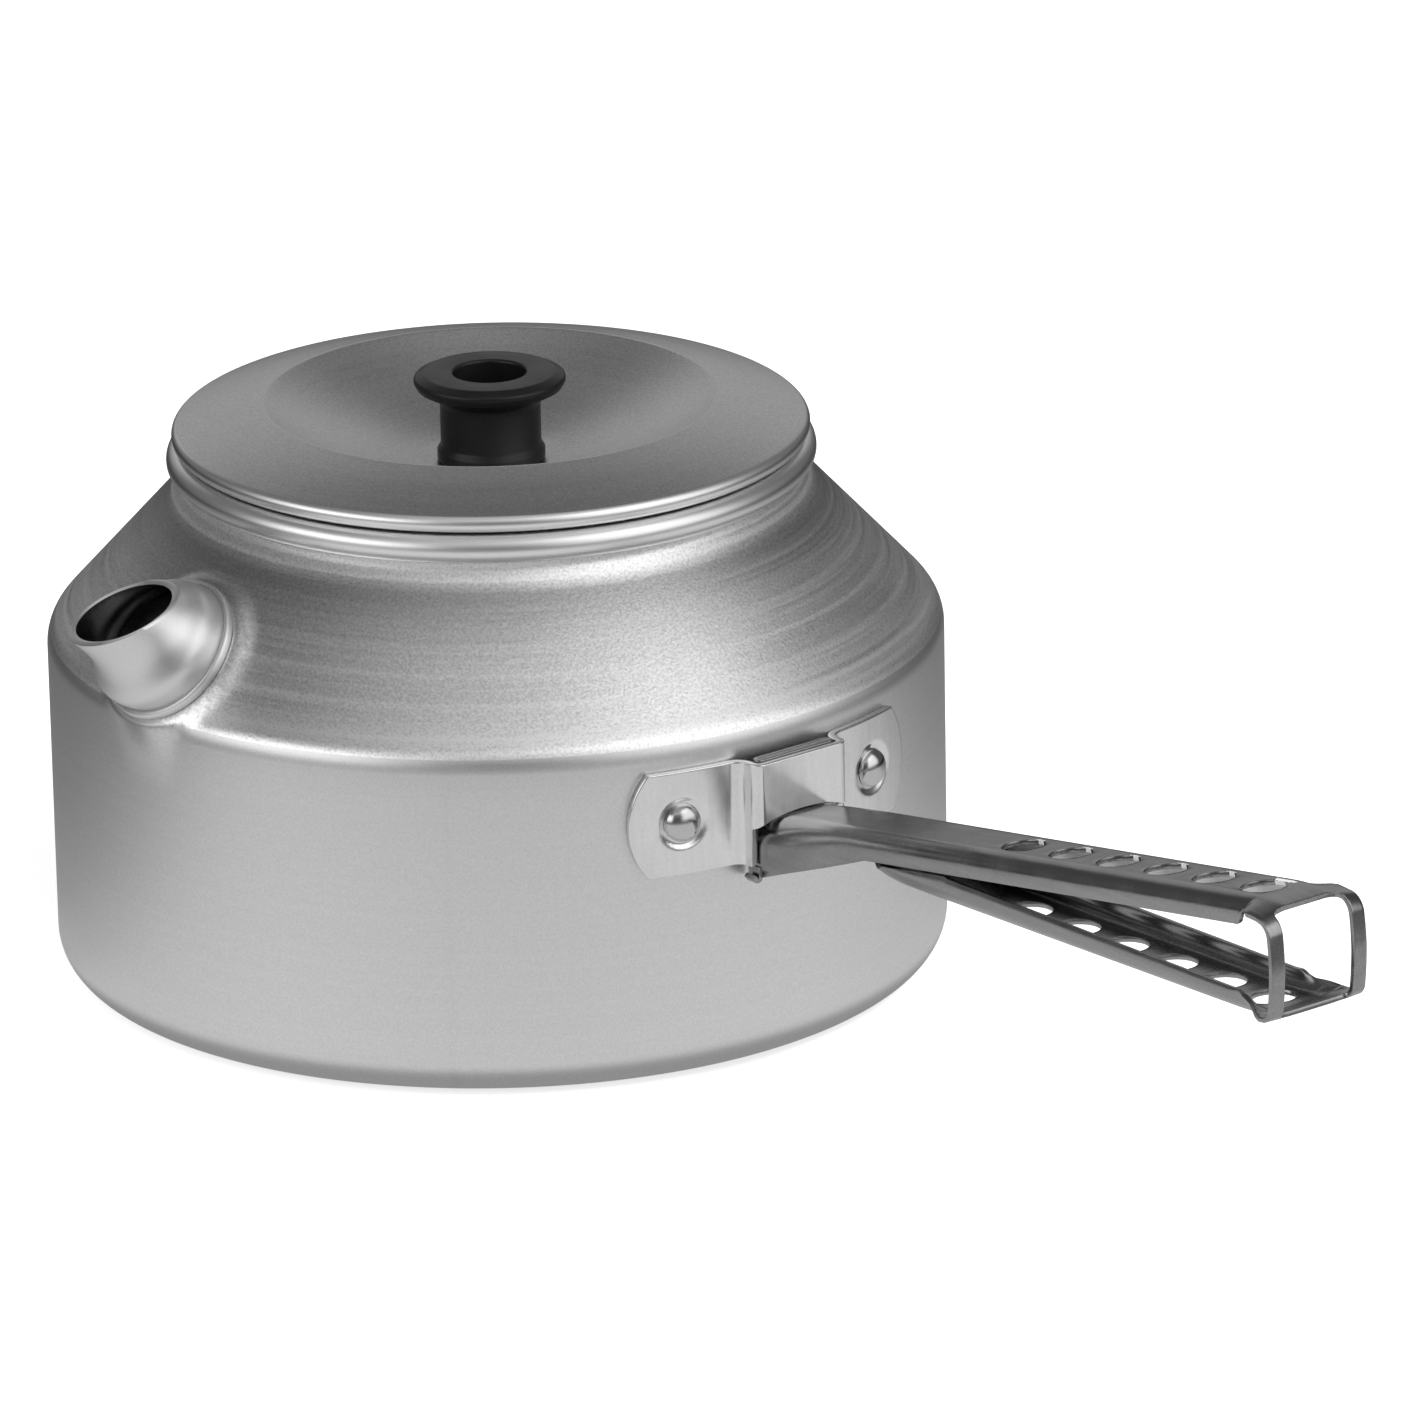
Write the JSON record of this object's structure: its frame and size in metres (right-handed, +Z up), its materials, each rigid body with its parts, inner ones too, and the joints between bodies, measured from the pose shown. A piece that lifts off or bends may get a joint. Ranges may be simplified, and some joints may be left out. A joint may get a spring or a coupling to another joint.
{
  "type": "camping kettle",
  "caption": "Low aluminium kettle with a short spout, a dished lift-off lid with a round knob, and a perforated folding-sheet handle that squeezes and slides down out of its wall bracket.",
  "frame": {"origin": "centre of the flat base, on the kettle's axis", "axes": "+Z up along the kettle's axis, +X out along the handle, -Y out over the spout"},
  "size_m": [0.3171, 0.1819, 0.1138],
  "materials": {
    "satin_aluminium": "satin, spun lines on the shoulder",
    "matte_aluminium": "matte",
    "bright_aluminium": "bright",
    "plated_steel": "semi-gloss",
    "black_plastic": "satin"
  },
  "bodies": {
    "kettle": {"kettle_body": "satin_aluminium", "spout": "satin_aluminium", "handle_bracket": "bright_aluminium", "rivet_left": "bright_aluminium", "rivet_right": "bright_aluminium"},
    "lid": {"lid": "matte_aluminium", "lid_knob": "black_plastic", "knob_screw": "plated_steel", "knob_washer": "plated_steel", "knob_nut": "plated_steel"},
    "handle": {"handle_upper_limb": "plated_steel", "handle_strap_near": "plated_steel", "handle_strap_far": "plated_steel"},
    "lever": {"handle_lower_limb": "plated_steel"}
  },
  "joints": [
    {"name": "lid_lift", "type": "slide", "parent": "kettle", "child": "lid", "axis": [0, 0, 1], "range_m": [0, 0.06]},
    {"name": "handle_release", "type": "slide", "parent": "kettle", "child": "handle", "axis": [0, 0, -1], "range_m": [0, 0.024]},
    {"name": "squeeze", "type": "hinge", "parent": "handle", "child": "lever", "pos_m": [0.1395, 0, 0.0524], "axis": [0, -1, 0], "range_deg": [0, 3], "stiffness_Nm_per_rad": 1.5, "springref_deg": -1.15}
  ]
}
